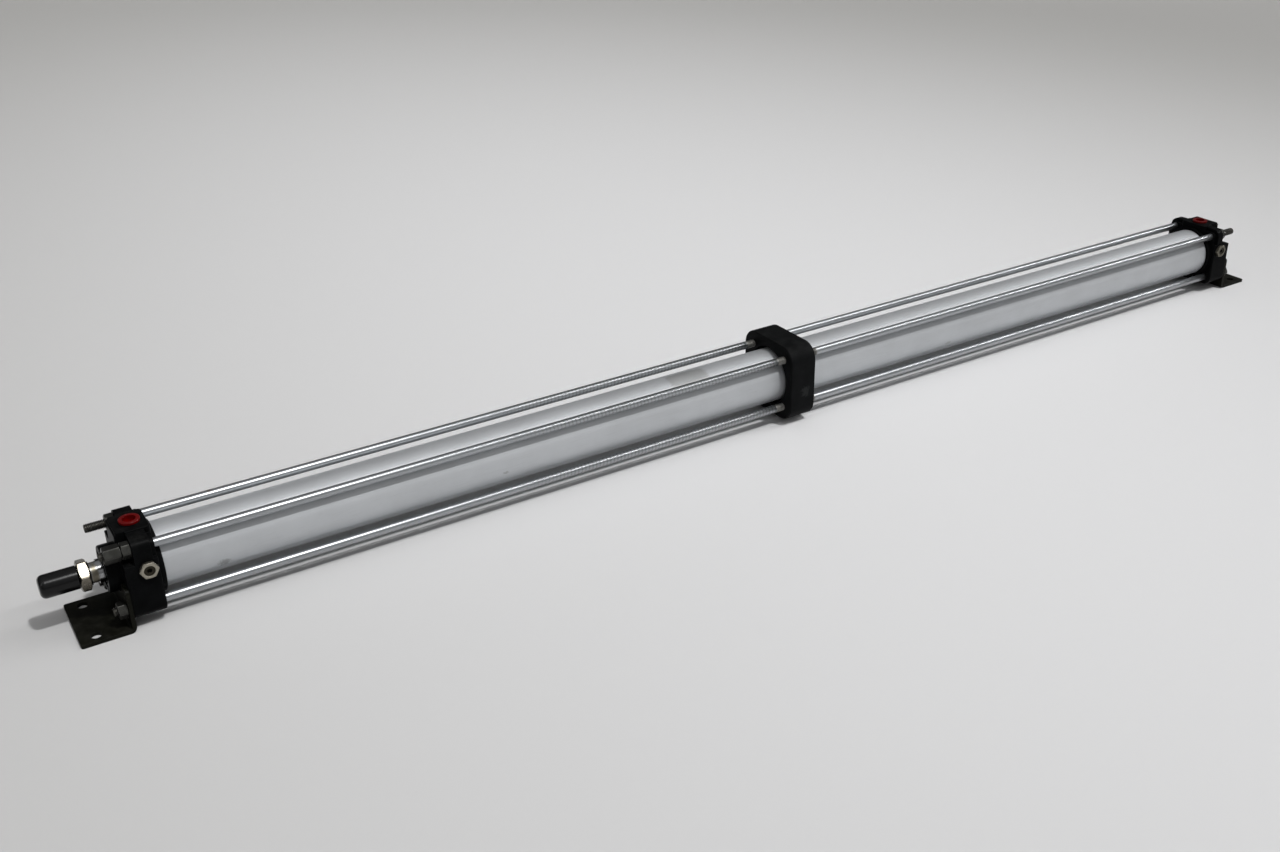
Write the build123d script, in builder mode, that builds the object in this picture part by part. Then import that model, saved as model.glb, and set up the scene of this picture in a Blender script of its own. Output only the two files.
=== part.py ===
from build123d import *
from math import radians, sqrt, tan
import os

os.makedirs("parts", exist_ok=True)

# Main sizes of the cylinder, in millimetres
stroke = 1250.0
bore_d = 50.0
tube_wall = 2.5
rod_d = 20.0
axis_height = 45.0

# Clearances
running_gap = 0.05
seal_gap = 0.08
slip = 0.1
free_gap = 0.3
nut_gap = 0.4
end_gap = 0.5

# Tie rods and their nuts
tie_rod_d = 8.0
tie_rod_from_tube = 5.27
tie_hole_slip = 0.25
tie_thread_relief = 0.15
tie_thread_show = 9.5
tie_thread_length = 29.0
tie_tip_chamfer = 0.8
tie_meet_gap = 2.0
tie_nut_af = 13.0
tie_nut_t = 7.5
front_stud_show = 23.9
rear_stud_show = 27.0
lower_stud_show = 10.5
long_nut_t = 13.5

# Nut corners
nut_corner_angle = 30.0
nut_face_inset = 0.5
nut_corner_cut = 0.12

# End covers; lengths along the axis run outwards from the face towards the tube
cover_margin = 9.0
cover_corner_r = 9.0
cover_length = 26.5
cover_edge_r = 1.5
step_length = 3.7
step_height = 18.0
step_inset = 4.0
step_corner_r = 5.0
collar_wall = 3.2
collar_length = 4.5
collar_edge_r = 0.8
front_nut_seat = 18.0
rear_nut_seat = 12.0
nut_room = 11.0
nut_room_r = 7.0
tube_seat = 3.0
gasket_t = 1.0
cushion_seal_d = 32.0
cushion_seal_t = 3.6
chamber_d = 29.0
chamber_length = 12.0
boss_d = 40.0
boss_edge_r = 1.0

# Air ports and their plugs
port_station = 10.5
port_d = 13.4
port_depth = 10.5
port_passage_d = 7.0
pad_rise = 1.5
pad_root = 9.5
pad_width = 33.0
pad_start = -2.0
pad_end_margin = 1.3
pad_corner_r = 3.0
pad_edge_r = 0.8
plug_flange_d = 17.0
plug_flange_t = 2.0
plug_flange_edge_r = 0.5
plug_side_gap = 0.3
plug_body_length = 9.5
plug_cup_wall = 1.0
plug_cup_depth = 8.0

# Cushion needles in the near side of each cover
needle_station = 8.8
needle_height = 9.2
needle_d = 9.0
needle_stand = 3.2
needle_hole_depth = 14.5
needle_floor_gap = 3.4
needle_passage_d = 3.0
needle_tip_gap = 0.2
needle_tip_length = 4.4
needle_socket_af = 4.0
needle_socket_depth = 3.0
needle_ring_t = 1.6
needle_ring_wall = 1.4
needle_shoulder = 0.6
needle_lock_af = 13.5
needle_lock_t = 4.0
bypass_d = 2.5

# Rod gland in the front cover
bush_d = 26.0
bush_length = 12.0
gland_d = 30.0
rod_seal_t = 4.2
retainer_t = 0.8
retainer_rod_gap = 0.75
clip_t = 1.2
clip_groove = 0.8
clip_width = 2.2
clip_gap = 8.0
clip_ear_d = 3.6
clip_hole_d = 1.6
gland_lip = 0.8

# Piston and what is clamped with it on the rod's stub
piston_length = 35.0
piston_side_gap = 0.3
piston_edge = 0.5
ring_side_gap = 0.07
piston_seal_t = 6.0
piston_seal_depth = 4.2
wear_ring_t = 10.0
wear_ring_depth = 1.7
groove_margin = 6.0
stub_d = 14.0
stub_show = 1.0
stub_end_gap = 1.5
rod_gasket_width = 2.0
rod_gasket_t = 2.0
cushion_ring_d = 24.0
cushion_ring_edge = 1.0
front_cushion_length = 16.0
rear_cushion_length = 8.0
piston_nut_af = 19.0
piston_nut_t = 7.0

# Rod end
rod_show = 4.5
flat_length = 5.4
flat_land = 0.8
flat_af = 17.0
flat_turn = 60.0
rod_shoulder_edge = 0.6
rod_thread_d = 16.0
rod_thread_length = 36.0
rod_tip_chamfer = 1.5
jam_nut_af = 24.0
jam_nut_t = 8.0
jam_nut_turn = 16.0
cap_side_gap = 0.25
cap_wall = 1.5
cap_end_wall = 2.1
cap_tip_r = 4.5
cap_edge_r = 0.5

# Reinforcing ring halfway along the tube
ring_margin = 14.0
ring_corner_r = 17.0
ring_width = 30.0
ring_tube_gap = 3.0
ring_edge_r = 1.2

# Foot brackets
foot_t = 3.2
foot_inset = 0.5
foot_reach = 43.5
foot_height = 39.5
foot_hole_station = 30.0
foot_hole_margin = 9.5
foot_hole_d = 9.0
foot_boss_gap = 1.0
foot_bend_r = 2.0
foot_corner_r = 2.0
foot_arm_corner_r = 4.0

# Bare label on the tube
label_from_ring = 97.0
label_length = 42.0
label_width = 22.0
label_corner_r = 5.0
label_t = 0.15
label_tilt = 14.0

# Sizes that follow from those above
tube_d = bore_d + 2 * tube_wall
cover_gap = stroke + piston_length + 2 * end_gap - 2 * tube_seat
half_gap = cover_gap / 2
rod_pitch = (tube_d + tie_rod_d + 2 * tie_rod_from_tube) / sqrt(2)
half_pitch = rod_pitch / 2
cover_size = rod_pitch + 2 * cover_margin
half_cover = cover_size / 2
step_size = cover_size - 2 * step_inset
collar_d = tube_d + 2 * collar_wall
nut_room_start = half_pitch - nut_room
cushion_seal_end = tube_seat + free_gap + cushion_seal_t
chamber_end = cushion_seal_end + chamber_length
rear_cushion_start = tube_seat - end_gap
piston_nut_start = rear_cushion_start + rear_cushion_length
stub_end = piston_nut_start + piston_nut_t + stub_show
blind_end = stub_end + stub_end_gap
bush_end = chamber_end + bush_length
retainer_start = bush_end + rod_seal_t
clip_start = retainer_start + retainer_t
clip_end = clip_start + clip_t
boss_end = clip_end + gland_lip
pad_top = axis_height + half_cover + pad_rise
pad_length = cover_length - pad_end_margin - pad_start
foot_width = cover_size - 2 * foot_inset
foot_hole_pitch = foot_width - 2 * foot_hole_margin
lower_seat = cover_length + foot_t
lower_tip = lower_seat + lower_stud_show
long_nut_seat = front_nut_seat + tie_nut_t
ring_size = rod_pitch + 2 * ring_margin
piston_d = bore_d - 2 * piston_side_gap
piston_ring_d = bore_d - 2 * ring_side_gap
piston_rear = half_gap + tube_seat - end_gap
piston_front = piston_rear - piston_length
rod_shoulder = piston_front - front_cushion_length
rod_gasket_d = stub_d + 2 * rod_gasket_width
flat_start = boss_end + rod_show
thread_start = flat_start + flat_length + flat_land
thread_end = thread_start + rod_thread_length
jam_nut_start = thread_start + nut_gap
cap_start = jam_nut_start + jam_nut_t + nut_gap
cap_bore_end = thread_end + free_gap
cap_bore_d = rod_thread_d + 2 * cap_side_gap
cap_d = cap_bore_d + 2 * cap_wall
needle_groove_d = needle_d - 2 * needle_ring_wall

FRONT, REAR = -1, 1
NEAR, FAR = -1, 1
LOWER, UPPER = -1, 1
END_NAME = {FRONT: "front", REAR: "rear"}
SIDE_NAME = {NEAR: "near", FAR: "far"}
LEVEL_NAME = {UPPER: "upper", LOWER: "lower"}

upper_seat = {FRONT: front_nut_seat, REAR: rear_nut_seat}
upper_tip = {FRONT: front_nut_seat + front_stud_show, REAR: rear_nut_seat + rear_stud_show}


def end_plane(end, s=0.0, y=0.0, z=0.0):
    """Plane across the axis at s outwards from a cover's tube face, facing outwards.

    Its origin lies y and z away from the cylinder's axis.
    """
    origin = (end * (half_gap + s), y, axis_height + z)
    return Plane(origin=origin, x_dir=(0, end, 0), z_dir=(end, 0, 0))


def station(x):
    """Plane across the axis at x, facing the rear."""
    return Plane(origin=(x, 0, axis_height), x_dir=(0, 1, 0), z_dir=(1, 0, 0))


def tie_plane(end, side, level, s):
    """End plane on the axis of one tie rod."""
    return end_plane(end, s, side * half_pitch, level * half_pitch)


def port_plane(end, z):
    """Level plane on the axis of one air port."""
    return Plane(origin=(end * (half_gap + port_station), 0, z))


def needle_plane(end):
    """Plane on a cover's near side, on the axis of its cushion needle, facing the near side."""
    origin = (end * (half_gap + needle_station), NEAR * half_cover, axis_height + needle_height)
    return Plane(origin=origin, x_dir=(1, 0, 0), z_dir=(0, NEAR, 0))


def section_of(plane):
    """Plane through another plane's axis: x runs out from that axis and y along it."""
    return Plane(origin=plane.origin, x_dir=plane.x_dir, z_dir=plane.x_dir.cross(plane.z_dir))


def ring_solid(plane, outer_d, inner_d, thickness):
    """Plain ring standing on a plane."""
    with BuildPart(mode=Mode.PRIVATE) as ring:
        with BuildSketch(plane):
            Circle(outer_d / 2)
            Circle(inner_d / 2, mode=Mode.SUBTRACT)
        extrude(amount=thickness)
    return ring.part


def hex_nut(plane, across_flats, thickness, hole_d, turn=0.0):
    """Hexagon nut standing on a plane, its corners turned down and its hole plain."""
    face_r = across_flats / 2 - nut_face_inset
    corner_r = across_flats / sqrt(3)
    turned_r = corner_r - nut_corner_cut
    drop = (turned_r - face_r) * tan(radians(nut_corner_angle))
    with BuildPart(mode=Mode.PRIVATE) as nut:
        with BuildSketch(section_of(plane)):
            with BuildLine():
                Polyline(
                    (hole_d / 2, 0),
                    (face_r, 0),
                    (turned_r, drop),
                    (turned_r, thickness - drop),
                    (face_r, thickness),
                    (hole_d / 2, thickness),
                    close=True,
                )
            make_face()
        revolve(axis=Axis(plane.origin, plane.z_dir))
        with BuildSketch(plane):
            RegularPolygon(corner_r, 6, rotation=turn)
        extrude(amount=thickness, mode=Mode.INTERSECT)
    return nut.part


def keep(piece, name):
    """Label a finished piece and write it out."""
    piece.part.label = name
    export_step(piece.part, f"parts/{name}.step")


# Tube, with a gasket between each of its ends and the cover
tube_end = tube_seat - gasket_t
with BuildPart() as cylinder_tube:
    with BuildSketch(station(-half_gap - tube_end)):
        Circle(tube_d / 2)
        Circle(bore_d / 2, mode=Mode.SUBTRACT)
    extrude(amount=cover_gap + 2 * tube_end)
keep(cylinder_tube, "cylinder_tube")

for end in (FRONT, REAR):
    with BuildPart() as tube_gasket:
        add(ring_solid(end_plane(end, tube_end), tube_d, bore_d, gasket_t))
    keep(tube_gasket, f"tube_gasket_{END_NAME[end]}")

# End covers
shared_bores = (
    (-collar_length, tube_seat, tube_d + 2 * slip),
    (tube_seat, cushion_seal_end, cushion_seal_d),
)
own_bores = {
    FRONT: (
        (cushion_seal_end, chamber_end, chamber_d),
        (chamber_end, bush_end, bush_d),
        (bush_end, boss_end, gland_d),
        (clip_start, clip_end, gland_d + 2 * clip_groove),
    ),
    REAR: ((cushion_seal_end, blind_end, chamber_d),),
}

for end in (FRONT, REAR):
    outwards = Axis((0, 0, 0), (end, 0, 0))
    with BuildPart() as cover:
        with BuildSketch(end_plane(end)):
            RectangleRounded(cover_size, cover_size, cover_corner_r)
        extrude(amount=cover_length)
        fillet(faces().sort_by(outwards)[0].edges(), cover_edge_r)
        fillet(faces().sort_by(outwards)[-1].edges(), cover_edge_r)

        # Step along the upper edges on the tube side
        with BuildSketch(end_plane(end)):
            with Locations((0, half_cover - step_height / 2)):
                Rectangle(cover_size, step_height)
            RectangleRounded(step_size, step_size, step_corner_r, mode=Mode.SUBTRACT)
        extrude(amount=step_length, mode=Mode.SUBTRACT)

        # Pad around the air port
        pad_middle = end * (half_gap + pad_start + pad_length / 2)
        with BuildSketch(Plane(origin=(pad_middle, 0, axis_height + half_cover - pad_root))):
            RectangleRounded(pad_length, pad_width, pad_corner_r)
        extrude(amount=pad_root + pad_rise)
        fillet(faces().sort_by(Axis.Z)[-1].edges(), pad_edge_r)

        # Room for the upper nuts
        with BuildSketch(end_plane(end, upper_seat[end])):
            room_middle = nut_room_start + half_cover / 2
            for side in (NEAR, FAR):
                with Locations((side * room_middle, room_middle)):
                    RectangleRounded(half_cover, half_cover, nut_room_r)
        extrude(amount=cover_length, mode=Mode.SUBTRACT)

        # Collar around the tube, and the boss around the rod
        with BuildSketch(end_plane(end, -collar_length)):
            Circle(collar_d / 2)
        extrude(amount=collar_length)
        fillet(faces().sort_by(outwards)[0].edges(), collar_edge_r)
        if end == FRONT:
            with BuildSketch(end_plane(end, cover_length)):
                Circle(boss_d / 2)
            extrude(amount=boss_end - cover_length)
            fillet(faces().sort_by(outwards)[-1].edges(), boss_edge_r)

        # Bores on the cylinder's axis
        for start, stop, diameter in shared_bores + own_bores[end]:
            with BuildSketch(end_plane(end, start)):
                Circle(diameter / 2)
            extrude(amount=stop - start, mode=Mode.SUBTRACT)

        # Holes for the tie rods
        with BuildSketch(end_plane(end)):
            with GridLocations(rod_pitch, rod_pitch, 2, 2):
                Circle(tie_rod_d / 2 + tie_hole_slip)
        extrude(amount=cover_length, mode=Mode.SUBTRACT)

        # Air port and its passage down to the chamber
        with BuildSketch(port_plane(end, pad_top)):
            Circle(port_d / 2)
        extrude(amount=-port_depth, mode=Mode.SUBTRACT)
        with BuildSketch(port_plane(end, axis_height)):
            Circle(port_passage_d / 2)
        extrude(amount=pad_top - axis_height, mode=Mode.SUBTRACT)

        # Needle hole, its passage to the chamber and the bypass from the tube
        with BuildSketch(needle_plane(end)):
            Circle(needle_d / 2 + running_gap)
        extrude(amount=-needle_hole_depth, mode=Mode.SUBTRACT)
        with BuildSketch(needle_plane(end)):
            Circle(needle_passage_d / 2)
        extrude(amount=-half_cover, mode=Mode.SUBTRACT)
        bypass_y = NEAR * (half_cover - needle_hole_depth + bypass_d / 2)
        with BuildSketch(end_plane(end, tube_seat, bypass_y, needle_height)):
            Circle(bypass_d / 2)
        extrude(amount=needle_station - tube_seat, mode=Mode.SUBTRACT)
    keep(cover, f"{END_NAME[end]}_cover")

# Cushion seals in the covers
for end in (FRONT, REAR):
    with BuildPart() as cushion_seal:
        plane = end_plane(end, cushion_seal_end - cushion_seal_t)
        add(ring_solid(plane, cushion_seal_d, cushion_ring_d + 2 * seal_gap, cushion_seal_t))
    keep(cushion_seal, f"cushion_seal_{END_NAME[end]}")

# Cushion needles with their rings and lock nuts
needle_end = needle_hole_depth - needle_floor_gap
needle_ring_start = needle_end - needle_shoulder - slip - needle_ring_t
for end in (FRONT, REAR):
    plane = needle_plane(end)
    with BuildPart() as needle:
        with BuildSketch(plane.offset(-needle_end)):
            Circle(needle_d / 2)
        extrude(amount=needle_end + needle_stand)
        with BuildSketch(plane.offset(-needle_end - needle_tip_length)):
            Circle(needle_passage_d / 2 - needle_tip_gap)
        extrude(amount=needle_tip_length)
        with BuildSketch(plane.offset(-needle_ring_start - needle_ring_t - slip)):
            Circle(needle_d / 2)
            Circle(needle_groove_d / 2, mode=Mode.SUBTRACT)
        extrude(amount=needle_ring_t + 2 * slip, mode=Mode.SUBTRACT)
        with BuildSketch(plane.offset(needle_stand)):
            RegularPolygon(needle_socket_af / 2, 6, major_radius=False)
        extrude(amount=-needle_socket_depth, mode=Mode.SUBTRACT)
    keep(needle, f"cushion_needle_{END_NAME[end]}")

    with BuildPart() as needle_ring:
        base = plane.offset(-needle_ring_start - needle_ring_t)
        add(ring_solid(base, needle_d, needle_groove_d + 2 * slip, needle_ring_t))
    keep(needle_ring, f"needle_o_ring_{END_NAME[end]}")

    with BuildPart() as needle_lock_nut:
        add(hex_nut(plane, needle_lock_af, needle_lock_t, needle_d + 2 * running_gap))
    keep(needle_lock_nut, f"needle_lock_nut_{END_NAME[end]}")

# Port plugs, pushed into the ports
for end in (FRONT, REAR):
    seat = port_plane(end, pad_top + free_gap)
    body_d = port_d - 2 * plug_side_gap
    with BuildPart() as port_plug:
        with BuildSketch(seat):
            Circle(plug_flange_d / 2)
        extrude(amount=plug_flange_t)
        fillet(faces().sort_by(Axis.Z)[-1].edges(), plug_flange_edge_r)
        with BuildSketch(seat):
            Circle(body_d / 2)
        extrude(amount=-plug_body_length)
        with BuildSketch(seat.offset(plug_flange_t)):
            Circle(body_d / 2 - plug_cup_wall)
        extrude(amount=-plug_cup_depth, mode=Mode.SUBTRACT)
    keep(port_plug, f"port_plug_{END_NAME[end]}")

# Rod gland: bush, seal, retaining washer and retaining ring
with BuildPart() as rod_bush:
    add(ring_solid(end_plane(FRONT, chamber_end), bush_d, rod_d + 2 * running_gap, bush_length))
keep(rod_bush, "rod_bush")

with BuildPart() as rod_seal:
    add(ring_solid(end_plane(FRONT, bush_end), gland_d, rod_d + 2 * seal_gap, rod_seal_t))
keep(rod_seal, "rod_seal")

with BuildPart() as seal_retainer:
    retainer_hole_d = rod_d + 2 * retainer_rod_gap
    add(ring_solid(end_plane(FRONT, retainer_start), gland_d, retainer_hole_d, retainer_t))
keep(seal_retainer, "seal_retainer")

clip_r = gland_d / 2 + clip_groove - slip
clip_inner_r = clip_r - clip_width
ear_x = clip_gap / 2 + clip_ear_d / 2
ear_y = -sqrt(clip_inner_r**2 - ear_x**2)
with BuildPart() as retaining_ring:
    with BuildSketch(end_plane(FRONT, clip_start)):
        Circle(clip_r)
        Circle(clip_inner_r, mode=Mode.SUBTRACT)
        with Locations((0, -clip_r)):
            Rectangle(clip_gap, clip_r, mode=Mode.SUBTRACT)
        with Locations((-ear_x, ear_y), (ear_x, ear_y)):
            Circle(clip_ear_d / 2)
        with Locations((-ear_x, ear_y), (ear_x, ear_y)):
            Circle(clip_hole_d / 2, mode=Mode.SUBTRACT)
    extrude(amount=clip_t)
keep(retaining_ring, "retaining_ring")

# Piston rod: shank, stub for the piston and threaded end with wrench flats
rod_end_x = -half_gap - thread_start
with BuildPart() as piston_rod:
    with BuildSketch(station(rod_end_x)):
        Circle(rod_d / 2)
    extrude(amount=rod_shoulder - rod_end_x)
    chamfer(faces().sort_by(Axis.X)[0].edges(), rod_shoulder_edge)
    with BuildSketch(end_plane(FRONT, thread_start)):
        Circle(rod_thread_d / 2 - running_gap)
    extrude(amount=rod_thread_length)
    chamfer(faces().sort_by(Axis.X)[0].edges(), rod_tip_chamfer)
    with BuildSketch(station(rod_shoulder)):
        Circle(stub_d / 2)
    extrude(amount=half_gap + stub_end - rod_shoulder)
    with BuildSketch(end_plane(FRONT, flat_start)):
        with PolarLocations(flat_af / 2 + rod_d / 2, 2, start_angle=flat_turn):
            Rectangle(rod_d, rod_d)
    extrude(amount=flat_length, mode=Mode.SUBTRACT)
keep(piston_rod, "piston_rod")

# Piston, its seal, wear ring and gasket
wear_ring_start = piston_front + groove_margin
piston_seal_start = piston_rear - groove_margin - piston_seal_t
grooves = (
    (piston_seal_start, piston_seal_t, piston_seal_depth),
    (wear_ring_start, wear_ring_t, wear_ring_depth),
)
with BuildPart() as piston:
    with BuildSketch(station(piston_front)):
        Circle(piston_d / 2)
    extrude(amount=piston_length)
    chamfer(faces().sort_by(Axis.X)[0].edges(), piston_edge)
    chamfer(faces().sort_by(Axis.X)[-1].edges(), piston_edge)
    for start, width, depth in grooves:
        with BuildSketch(station(start - slip)):
            Circle(bore_d / 2)
            Circle(piston_d / 2 - depth, mode=Mode.SUBTRACT)
        extrude(amount=width + 2 * slip, mode=Mode.SUBTRACT)
    with BuildSketch(station(piston_front)):
        Circle(stub_d / 2 + running_gap)
    extrude(amount=piston_length, mode=Mode.SUBTRACT)
    with BuildSketch(station(piston_front)):
        Circle(rod_gasket_d / 2 + slip)
    extrude(amount=rod_gasket_t, mode=Mode.SUBTRACT)
keep(piston, "piston")

for name, (start, width, depth) in zip(("piston_seal", "wear_ring"), grooves):
    with BuildPart() as piston_ring:
        inner_d = piston_d - 2 * depth + 2 * slip
        add(ring_solid(station(start), piston_ring_d, inner_d, width))
    keep(piston_ring, name)

with BuildPart() as piston_gasket:
    add(ring_solid(station(piston_front), rod_gasket_d, stub_d + 2 * running_gap, rod_gasket_t))
keep(piston_gasket, "piston_gasket")

# Cushion rings in front of the piston and behind it, and the nut that clamps them
cushions = {
    FRONT: (rod_shoulder, front_cushion_length),
    REAR: (piston_rear, rear_cushion_length),
}
for end, (start, length) in cushions.items():
    with BuildPart() as cushion_ring:
        add(ring_solid(station(start), cushion_ring_d, stub_d + 2 * running_gap, length))
        leading_face = faces().sort_by(Axis((0, 0, 0), (end, 0, 0)))[-1]
        chamfer(leading_face.outer_wire().edges(), cushion_ring_edge)
    keep(cushion_ring, f"cushion_ring_{END_NAME[end]}")

with BuildPart() as piston_nut:
    plane = end_plane(REAR, piston_nut_start)
    add(hex_nut(plane, piston_nut_af, piston_nut_t, stub_d + 2 * running_gap))
keep(piston_nut, "piston_nut")

# Jam nut and thread cap on the rod end
with BuildPart() as rod_jam_nut:
    plane = end_plane(FRONT, jam_nut_start)
    add(hex_nut(plane, jam_nut_af, jam_nut_t, rod_thread_d, jam_nut_turn))
keep(rod_jam_nut, "rod_jam_nut")

with BuildPart() as thread_cap:
    with BuildSketch(end_plane(FRONT, cap_start)):
        Circle(cap_d / 2)
    extrude(amount=cap_bore_end + cap_end_wall - cap_start)
    fillet(faces().sort_by(Axis.X)[0].edges(), cap_tip_r)
    fillet(faces().sort_by(Axis.X)[-1].edges(), cap_edge_r)
    with BuildSketch(end_plane(FRONT, cap_start)):
        Circle(cap_bore_d / 2)
    extrude(amount=cap_bore_end - cap_start, mode=Mode.SUBTRACT)
keep(thread_cap, "thread_cap")

# Reinforcing ring, which the tie rods are screwed into from both sides
with BuildPart() as reinforcing_ring:
    with BuildSketch(station(-ring_width / 2)):
        RectangleRounded(ring_size, ring_size, ring_corner_r)
    extrude(amount=ring_width)
    fillet(faces().sort_by(Axis.X)[0].edges(), ring_edge_r)
    fillet(faces().sort_by(Axis.X)[-1].edges(), ring_edge_r)
    with BuildSketch(station(-ring_width / 2)):
        Circle(tube_d / 2 + ring_tube_gap)
        with GridLocations(rod_pitch, rod_pitch, 2, 2):
            Circle(tie_rod_d / 2)
    extrude(amount=ring_width, mode=Mode.SUBTRACT)
keep(reinforcing_ring, "reinforcing_ring")

# Tie rods: from the ring to each cover, with a thread at both ends
for end in (FRONT, REAR):
    for side in (NEAR, FAR):
        for level in (UPPER, LOWER):
            tip = upper_tip[end] if level == UPPER else lower_tip
            root = tie_meet_gap / 2 - half_gap
            root_thread_end = ring_width / 2 + tie_thread_show - half_gap
            tip_thread_start = tip - tie_thread_length
            with BuildPart() as tie_rod:
                with BuildSketch(tie_plane(end, side, level, root)):
                    Circle(tie_rod_d / 2 - tie_thread_relief)
                extrude(amount=tip - root)
                outwards = Axis((0, 0, 0), (end, 0, 0))
                chamfer(faces().sort_by(outwards)[-1].edges(), tie_tip_chamfer)
                with BuildSketch(tie_plane(end, side, level, root_thread_end)):
                    Circle(tie_rod_d / 2)
                extrude(amount=tip_thread_start - root_thread_end)
            keep(tie_rod, f"{END_NAME[end]}_tie_rod_{SIDE_NAME[side]}_{LEVEL_NAME[level]}")

# Tie rod nuts: the upper ones sit in the covers, the lower ones on the feet
for end in (FRONT, REAR):
    with BuildPart() as tie_rod_nuts:
        for level, seat in ((UPPER, upper_seat[end]), (LOWER, lower_seat)):
            for side in (NEAR, FAR):
                plane = tie_plane(end, side, level, seat)
                add(hex_nut(plane, tie_nut_af, tie_nut_t, tie_rod_d))
    keep(tie_rod_nuts, f"{END_NAME[end]}_tie_rod_nuts")

with BuildPart() as long_nut:
    plane = tie_plane(FRONT, NEAR, UPPER, long_nut_seat)
    add(hex_nut(plane, tie_nut_af, long_nut_t, tie_rod_d))
keep(long_nut, "long_nut")

# Foot brackets, folded from plate
for end in (FRONT, REAR):
    corner = (end * (half_gap + cover_length), end * foot_width / 2, 0)
    with BuildPart() as foot:
        with BuildSketch(Plane(origin=corner, x_dir=(end, 0, 0), z_dir=(0, -end, 0))):
            with BuildLine():
                outer = FilletPolyline(
                    (0, foot_height), (0, 0), (foot_reach, 0), radius=foot_bend_r + foot_t
                )
                inner = FilletPolyline(
                    (foot_reach, foot_t), (foot_t, foot_t), (foot_t, foot_height), radius=foot_bend_r
                )
                Line(outer @ 1, inner @ 0)
                Line(inner @ 1, outer @ 0)
            make_face()
        extrude(amount=foot_width)
        outwards = Axis((0, 0, 0), (end, 0, 0))
        fillet(edges().filter_by(Axis.Z).group_by(outwards)[-1], foot_corner_r)
        fillet(edges().filter_by(Axis.X).group_by(Axis.Z)[-1], foot_arm_corner_r)
        with BuildSketch(end_plane(end, cover_length)):
            Circle(boss_d / 2 + foot_boss_gap)
            with Locations((-half_pitch, -half_pitch), (half_pitch, -half_pitch)):
                Circle(tie_rod_d / 2 + tie_hole_slip)
        extrude(amount=foot_t, mode=Mode.SUBTRACT)
        hole_x = end * (half_gap + cover_length + foot_hole_station)
        with BuildSketch(Plane(origin=(hole_x, 0, 0))):
            with GridLocations(0, foot_hole_pitch, 1, 2):
                Circle(foot_hole_d / 2)
        extrude(amount=foot_t, mode=Mode.SUBTRACT)
    keep(foot, f"{END_NAME[end]}_foot")

# Bare label, wrapped on the tube between the near and far upper tie rods
label_x = -label_from_ring - label_length / 2
with BuildPart() as blank_label:
    with BuildSketch(station(label_x - label_length / 2)):
        Circle(tube_d / 2 + label_t)
        Circle(tube_d / 2, mode=Mode.SUBTRACT)
    extrude(amount=label_length)
    with BuildSketch(Plane(origin=(label_x, 0, axis_height)).rotated((label_tilt, 0, 0))):
        RectangleRounded(label_length, label_width, label_corner_r)
    extrude(amount=tube_d, mode=Mode.INTERSECT)
keep(blank_label, "blank_label")
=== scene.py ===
"""Dresses the tie rod pneumatic cylinder and sets its camera, floor and lamps.

Lengths in the dataclass fields are millimetres unless the name says otherwise, in the frame of
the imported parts: X along the cylinder from the rod end to the rear, Y from the near side to the
far side, Z up from the floor.
"""

import logging
import math
from collections.abc import Callable
from dataclasses import dataclass, field
from enum import Enum
from typing import Any

import bpy
from mathutils import Matrix, Vector


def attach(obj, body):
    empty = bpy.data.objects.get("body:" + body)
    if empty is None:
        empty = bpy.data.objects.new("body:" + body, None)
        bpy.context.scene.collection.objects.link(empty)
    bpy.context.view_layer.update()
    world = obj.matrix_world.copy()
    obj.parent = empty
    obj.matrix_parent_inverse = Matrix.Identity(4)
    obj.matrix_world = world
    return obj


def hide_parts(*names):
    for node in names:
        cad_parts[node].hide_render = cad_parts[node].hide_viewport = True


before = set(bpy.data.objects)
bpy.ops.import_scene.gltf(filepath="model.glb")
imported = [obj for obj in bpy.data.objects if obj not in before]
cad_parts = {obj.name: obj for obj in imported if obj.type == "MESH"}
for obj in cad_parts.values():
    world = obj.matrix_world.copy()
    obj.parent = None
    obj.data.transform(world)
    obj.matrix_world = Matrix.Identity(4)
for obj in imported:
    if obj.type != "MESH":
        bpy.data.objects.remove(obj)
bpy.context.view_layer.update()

log = logging.getLogger("cylinder")

# Half the length between the covers, half the spacing of the tie rods, and the height of the
# cylinder's axis, in millimetres.
HALF_GAP = 640.0
HALF_PITCH = 26.0003
AXIS_HEIGHT = 45.0

# Metres in a millimetre, the angle from which an edge is sharp, the angle at which a nut's
# corners are turned down, the distance in metres within which a built piece's points are
# merged, and the least value that a flat's width is divided by.
MM = 0.001
SHARP_ANGLE = math.radians(32)
NUT_CORNER_ANGLE = math.radians(30)
MERGE_DISTANCE = 0.000002
LEAST_COSINE = 0.0001

NUMBER = "NodeSocketFloat"
DIRECTION = "NodeSocketVector"
SHAPE = "NodeSocketGeometry"
Colour = tuple[float, float, float]
Triple = tuple[float, float, float]


class End(Enum):
    """The two ends of the cylinder, by the direction that each faces along X."""

    FRONT = -1
    REAR = 1

    @property
    def word(self) -> str:
        """The end's name as the parts are named."""
        return self.name.lower()


def arithmetic(operation: str, swapped: bool = False) -> Callable[["Signal", Any], "Signal"]:
    """Make one operator of a signal.

    Args:
        operation: the operation of the Math node that it adds.
        swapped: whether the other value stands first.

    Returns:
        The operator's method.
    """
    def apply(signal: "Signal", other: Any) -> "Signal":
        """Add the Math node."""
        values = (other, signal) if swapped else (signal, other)
        return signal.graph.math(operation, *values)
    return apply


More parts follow.
